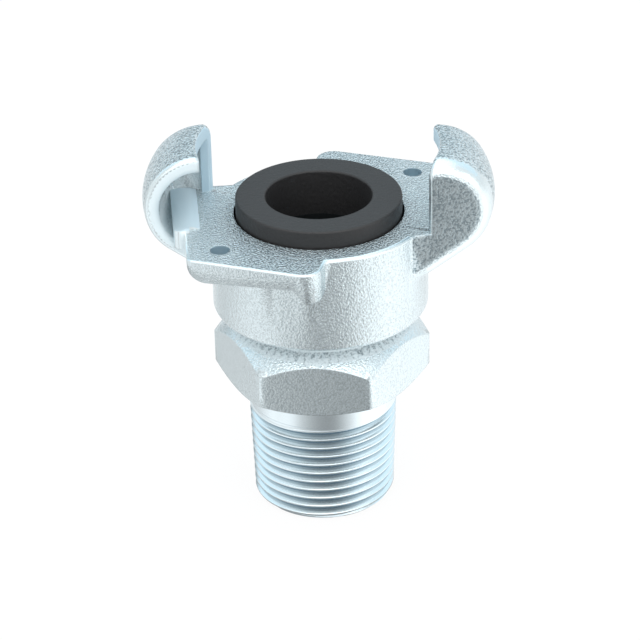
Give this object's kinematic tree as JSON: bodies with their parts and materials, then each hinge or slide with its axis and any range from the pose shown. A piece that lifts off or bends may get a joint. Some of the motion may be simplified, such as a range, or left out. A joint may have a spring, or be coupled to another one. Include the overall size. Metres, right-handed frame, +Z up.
{
  "type": "claw hose coupling",
  "caption": "Twist-lock claw hose coupling: rubber seal between hooked claws, ears with pin holes, wrench hexagon and tapered male pipe thread.",
  "frame": {"origin": "centre of the flat end of the thread, on the bore's axis, at the object's lowest point", "axes": "+Z up the bore to the claws; the claws stand at -X and +X, the ears reach along -Y and +Y"},
  "size_m": [0.062, 0.0486, 0.071],
  "materials": {
    "plated_iron": "zinc-plated casting, fine sandy grain, pale blue-grey, smooth where it is machined",
    "black_rubber": "matt black moulded rubber"
  },
  "bodies": {
    "root": {"coupling_body": "plated_iron", "seal_ring": "black_rubber"}
  },
  "joints": []
}
